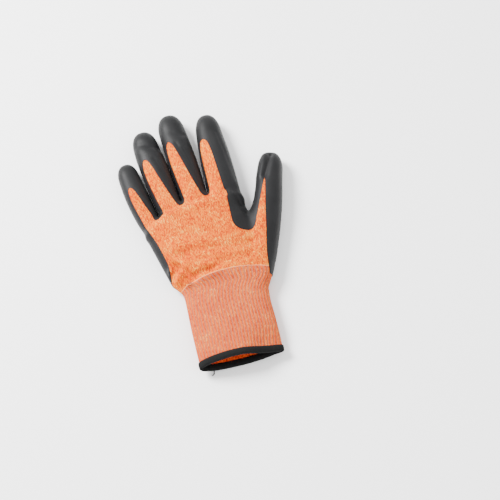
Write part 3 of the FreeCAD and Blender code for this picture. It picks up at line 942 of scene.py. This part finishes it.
def make_hand_pieces():
    """The knit and the coating of the palm and of every part of the fingers."""
    surface = make_hand()
    points = surface.points
    bare = bare_field(*points.T)
    normals = outward(hand_field, points)
    uv = knit_coordinates(points)
    region, part, centres = regions(surface)
    face_bare = bare_field(*centres.T)
    coat_outer = points + normals * coat_offsets(points, bare)[:, None]
    coat_inner = points - normals * MESH_INSET
    knit_inner = points - normals * KNIT_THICKNESS
    coated = face_bare < 0

    def chosen_faces(chosen):
        return [surface.faces[i] for i in np.flatnonzero(chosen)]

    def make_knit(name, chosen, nodes):
        piece = shell(name, points, knit_inner, chosen_faces(chosen), normals, uv, True)
        piece.data.materials.append(KNIT)
        piece.data.materials.append(INSIDE)
        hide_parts(*nodes)
        return piece

    def make_coat(name, chosen, nodes):
        piece = shell(name, coat_outer, coat_inner, chosen_faces(chosen & coated), normals)
        piece.data.materials.append(COATING)
        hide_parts(*nodes)
        return piece

    palm = region < 0
    on_hand = centres[:, 1] > rib_line(centres[:, 0])
    wrist_blend(make_knit("palm_knit", palm & on_hand, ["palm_liner"]))
    wrist_blend(make_coat("palm_coat", palm, ["palm_coating", "heel_coating"]))
    for index, finger in enumerate(FINGERS.values()):
        for number, body in enumerate(finger.bodies):
            parent = "palm" if number == 0 else finger.bodies[number - 1]
            here = (region == index) & (part == number)
            for piece in (make_knit(f"{body}_knit", here, [f"{body}_liner"]),
                          make_coat(f"{body}_coat", here, [f"{body}_coating"])):
                dress_finger(piece, finger, number, parent)


def wrist_blend(piece):
    """Bakes a piece's placement into its mesh."""
    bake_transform(piece)


make_hand_pieces()


# The cuff
def folded_trunk(x, y, z):
    """The palm, thumb and cuff with the folds of the knit."""
    return palm_and_thumb(x, y, z) + folds(x, y, z)


def trunk_reach(angle, y):
    """The points of the glove's surface in directions round the middle of the trunk."""
    middle = trunk_middle(y)
    level = TRUNK_LEVEL(y)
    low, high = np.full(np.shape(angle), 2.0), np.full(np.shape(angle), 70.0)
    for _ in range(26):
        reach = (low + high) / 2
        x = middle + reach * np.sin(angle)
        z = level + reach * np.cos(angle)
        outside = folded_trunk(x, y, z) > 0
        high = np.where(outside, reach, high)
        low = np.where(outside, low, reach)
    reach = (low + high) / 2
    return np.column_stack([middle + reach * np.sin(angle), y, level + reach * np.cos(angle)])


def even_angles(y, count):
    """Directions that divide the trunk's girth at y into equal steps, from below, and the girth."""
    angles = np.linspace(-math.pi, math.pi, 1441)
    ring = trunk_reach(angles, np.full(len(angles), y))
    lengths = np.concatenate([[0], np.cumsum(np.linalg.norm(np.diff(ring, axis=0), axis=1))])
    return np.interp(np.linspace(0, lengths[-1], count, endpoint=False), lengths, angles), lengths[-1]


def spread_angles(stations, spread, y):
    """Each column's direction at its own y, between the stations it was worked out for."""
    place = np.clip((y - stations[0]) / (stations[1] - stations[0]), 0, len(stations) - 1.001)
    row = place.astype(int)
    column = np.arange(len(y))
    part = place - row
    return spread[row, column] * (1 - part) + spread[row + 1, column] * part


def grid_faces(rows, columns, joined=False):
    """Quads of a tube of rows of points, closed round each row. Joined, its ends meet as well."""
    faces = []
    for row in range(rows if joined else rows - 1):
        after = (row + 1) % rows
        for column in range(columns):
            right = (column + 1) % columns
            faces.append((row * columns + column, row * columns + right,
                          after * columns + right, after * columns + column))
    return faces


def join_tubes(tubes):
    """The points and faces of several tubes as one list of each."""
    all_points, all_faces, offset = [], [], 0
    for points, faces in tubes:
        all_points.append(points)
        all_faces += [tuple(i + offset for i in face) for face in faces]
        offset += len(points)
    return np.vstack(all_points), all_faces


def mouth_lean(points):
    """How far the mouth's lower lip and left corner reach past the hem's line, as a negative y."""
    share = cuff_share(points[:, 0])
    low = np.clip((11 - points[:, 2]) / 9, 0, 1)
    return -3.0 * low * np.maximum(1 - (share + 0.3) ** 2, 0) - 2.5 * np.clip(-share, 0, 1) ** 2


def make_cuff():
    """The ribbed cuff: a tube down to the hem, with its ribs as relief."""
    per_rib = 8
    columns = RIB_COUNT * per_rib
    bottom = HEM_Y + 1.2
    stations = np.linspace(HEM_Y, WRIST_Y + 4, 12)
    spread = np.array([even_angles(y, columns)[0] for y in stations])
    _, girth = even_angles(HEM_Y, columns)
    rows = int((SEAM_Y - bottom) / 0.95)
    rings, uvs = [], []
    for row in range(rows + 1):
        share = row / rows
        y = np.full(columns, bottom + (SEAM_Y - bottom) * share)
        ring = trunk_reach(spread_angles(stations, spread, y), y)
        for _ in range(3):
            y = bottom + (rib_line(ring[:, 0]) - bottom) * share
            y += mouth_lean(ring) * (1 - share) ** 3
            ring = trunk_reach(spread_angles(stations, spread, y), y)
        rings.append(ring)
        uvs.append(np.column_stack([np.arange(columns) / per_rib * RIB_PERIOD, y]) * MM)
    points, uv = np.vstack(rings), np.vstack(uvs)
    normals = outward(folded_trunk, points)
    rib = np.tile(np.arange(columns) / per_rib, rows + 1)
    wave = np.abs(np.cos(math.pi * rib)) ** 0.7
    fade = np.repeat(np.clip((1 - np.arange(rows + 1) / rows) * 12, 0, 1), columns)
    height = RIB_HEIGHT * (wave - 1) * fade
    faces = [tuple(reversed(face)) for face in grid_faces(rows + 1, columns)]
    turned = np.cross(points[1] - points[0], points[columns] - points[0]) @ normals[0] > 0
    if turned:
        faces = [tuple(reversed(face)) for face in faces]
    outer = points + normals * height[:, None]
    inner = points + normals * (-CUFF_THICKNESS - 0.5 * height)[:, None]
    ribbed = np.gradient(height.reshape(rows + 1, columns), axis=1).ravel()
    spacing = girth / columns
    around = np.roll(points.reshape(rows + 1, columns, 3), -1, axis=1).reshape(-1, 3) - points
    around /= np.linalg.norm(around, axis=1, keepdims=True)
    shading = normals - around * (ribbed / spacing)[:, None]
    shading /= np.linalg.norm(shading, axis=1, keepdims=True)
    piece = shell("rib_cuff_knit", outer, inner, faces, shading, uv, True)
    piece.data.materials.append(CUFF_KNIT)
    piece.data.materials.append(INSIDE)
    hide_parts("rib_cuff")
    wrist_blend(piece)


def tube_along(path, radius, sides, closed):
    """A tube of round section along a path of points."""
    count = len(path)
    if closed:
        forward = np.roll(path, -1, axis=0) - np.roll(path, 1, axis=0)
    else:
        forward = np.gradient(path, axis=0)
    forward /= np.linalg.norm(forward, axis=1, keepdims=True)
    up = np.tile(np.array([0.0, 1.0, 0.0]), (count, 1))
    first = np.cross(forward, up)
    weak = np.linalg.norm(first, axis=1) < 1e-3
    first[weak] = np.cross(forward[weak], np.array([0.0, 0.0, 1.0]))
    first /= np.linalg.norm(first, axis=1, keepdims=True)
    second = np.cross(first, forward)
    turn = np.linspace(0, 2 * math.pi, sides, endpoint=False)
    rings = (path[:, None] + radius * (np.cos(turn)[None, :, None] * first[:, None]
                                       + np.sin(turn)[None, :, None] * second[:, None]))
    faces = grid_faces(count, sides, closed)
    if not closed:
        faces.append(tuple(range(sides)))
        faces.append(tuple(range((count - 1) * sides, count * sides))[::-1])
    return rings.reshape(-1, 3), [tuple(reversed(face)) for face in faces]


def mesh_piece(name, points, faces, material, body, nodes):
    """A smooth piece in one material, which rides on a body if one is given."""
    piece, mesh = new_piece(name, points, faces)
    mesh.validate()
    mesh.materials.append(material)
    if nodes:
        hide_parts(*nodes)
    if body:
        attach(piece, body)
    return piece


def make_hem():
    """The overlocked hem: a band over the cuff's edge, wrapped in slanting thread."""
    wraps, per_wrap, outline = 150, 8, 30
    columns = wraps * per_wrap
    angles, _ = even_angles(HEM_Y + 4, columns)
    middle_y = HEM_Y + HEM_WIDTH / 2
    half_depth = CUFF_THICKNESS / 2 + 1.05
    wave_out, wave_along = 0.32, 0.3
    base = trunk_reach(angles, np.full(columns, middle_y))
    lean = mouth_lean(base)
    normals = gradient(palm_and_thumb, base)
    normals[:, 1] = 0
    normals /= np.linalg.norm(normals, axis=1, keepdims=True)
    phase = np.arange(columns) / per_wrap
    rough = 0.06 * np.sin(phase * 2.7) * np.sin(phase * 0.61 + 1)
    rings = []
    for turn in np.linspace(0, 2 * math.pi, outline, endpoint=False):
        along, off = math.cos(turn), math.sin(turn)
        along = math.copysign(abs(along) ** 0.8, along)
        off = math.copysign(abs(off) ** 0.85, off)
        line = trunk_reach(angles, middle_y + lean + along * (HEM_WIDTH / 2 - wave_along))
        wave = 0.5 + 0.5 * np.cos(2 * math.pi * (phase + 0.55 * along))
        depth = off * (half_depth + wave_out * (wave - 0.5) + rough) - CUFF_THICKNESS / 2
        ring = line + normals * depth[:, None]
        ring[:, 1] += along * wave_along * wave
        rings.append(ring)
    points = np.vstack(rings)
    points[:, 2] = np.maximum(points[:, 2], MESH_INSET)
    faces = [tuple(reversed(face)) for face in grid_faces(outline, columns, True)]
    mesh_piece("overlock_hem", points, faces, HEM_THREAD, "cuff", ["cuff_hem"])


def make_elastic():
    """Covered elastic yarns inside the cuff's wall."""
    columns, radius, spacing = 240, 0.22, 4.5
    yarns = []
    for y in np.arange(HEM_Y + HEM_WIDTH + 3, WRIST_Y - 16, spacing):
        angles, _ = even_angles(y, columns)
        ring = trunk_reach(angles, np.full(columns, y))
        ring -= outward(palm_and_thumb, ring) * (CUFF_THICKNESS * 0.55)
        yarns.append(tube_along(ring, radius, 6, True))
    points, faces = join_tubes(yarns)
    mesh_piece("elastic_yarns", points, faces, ELASTIC, "cuff", ["cuff_elastic"])


def make_tail():
    """The short twisted end of the overlock thread."""
    low, high = (np.array(corner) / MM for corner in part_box("hem_thread_tail"))
    start = np.array([high[0] - 0.6, high[1] - 1.2, 1.6])
    end = np.array([low[0] - 0.6, low[1] - 2.6, 0.7])
    strands, radius, twists, steps = 3, 0.24, 2.2, 40
    share = np.linspace(0, 1, steps)[:, None]
    corner = np.array([start[0], end[1], end[2]])
    path = start * (1 - share) ** 2 + 2 * corner * share * (1 - share) + end * share**2
    tubes = []
    for strand in range(strands):
        turn = 2 * math.pi * (share[:, 0] * twists + strand / strands)
        line = path + radius * np.column_stack([np.cos(turn), np.zeros(steps), np.sin(turn)])
        tubes.append(tube_along(line, radius, 8, False))
    points, faces = join_tubes(tubes)
    points[:, 2] = np.maximum(points[:, 2], MESH_INSET)
    mesh_piece("thread_tail", points, faces, HEM_THREAD, "cuff", ["hem_thread_tail"])


def make_transition():
    """The course of slack, pale stitches between the ribs and the plain knit."""
    columns = 560
    angles, _ = even_angles(WRIST_Y, columns)
    ring = trunk_reach(angles, np.full(columns, SEAM_Y))
    for _ in range(4):
        ring = trunk_reach(angles, rib_line(ring[:, 0]))
    keep = np.flatnonzero(ring[:, 2] > 9)
    ring = ring[keep]
    wave = np.sin(np.arange(len(ring)) * math.pi / 2.0)
    ring[:, 1] += 0.25 * wave
    ring[:, 2] -= 0.12
    points, faces = tube_along(ring, 0.26, 6, False)
    piece = mesh_piece("transition_course", points, faces, PALE_YARN, None, [])
    wrist_blend(piece)


make_cuff()
make_transition()
make_hem()
make_elastic()
make_tail()


# Floor, light and camera
def make_floor():
    """The pale floor the glove lies on."""
    bpy.ops.mesh.primitive_plane_add(size=8, location=(0, 0, -0.0004))
    floor = bpy.context.object
    floor.name = "floor"
    material, _, shader = new_material("floor")
    shader.inputs["Base Color"].default_value = (0.96, 0.96, 0.96, 1)
    shader.inputs["Roughness"].default_value = 0.9
    shader.inputs["Specular IOR Level"].default_value = 0.1
    floor.data.materials.append(material)
    floor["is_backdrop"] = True


def area_light(name, place, size, power):
    """A round softbox that shines at the middle of the glove."""
    data = bpy.data.lights.new(name, "AREA")
    data.shape = "DISK"
    data.size = size
    data.energy = power
    light = bpy.data.objects.new(name, data)
    light.location = place
    light.rotation_euler = (-Vector(place)).to_track_quat("-Z", "Y").to_euler()
    bpy.context.scene.collection.objects.link(light)


def make_world():
    """Even white light from everywhere."""
    world = bpy.data.worlds.new("studio")
    bpy.context.scene.world = world
    world.use_nodes = True
    background = world.node_tree.nodes["Background"]
    background.inputs[0].default_value = (1.0, 1.0, 1.0, 1.0)
    background.inputs[1].default_value = 1.7


def make_camera():
    """Looks down at the glove from the cuff's side."""
    azimuth, elevation = math.radians(-12), math.radians(65)
    distance, width = 1.078, 0.4455
    target = Vector((0.0274, -0.0094, 0.0))
    back = Vector((math.sin(azimuth) * math.cos(elevation), -math.cos(azimuth) * math.cos(elevation),
                   math.sin(elevation)))
    data = bpy.data.cameras.new("camera")
    data.angle = 2 * math.atan(width / 2 / distance)
    camera = bpy.data.objects.new("camera", data)
    camera.location = target + back * distance
    camera.rotation_euler = (-back).to_track_quat("-Z", "Y").to_euler()
    bpy.context.scene.collection.objects.link(camera)
    bpy.context.scene.camera = camera


make_floor()
make_world()
area_light("key", (-0.9, 0.7, 1.1), 0.7, 95)
area_light("fill", (0.9, -0.9, 1.2), 1.5, 12)
make_camera()

boxes = {"cad": CAD_BOX, "visual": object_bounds()}
boxes = {name: [list(corner) for corner in box] for name, box in boxes.items()}
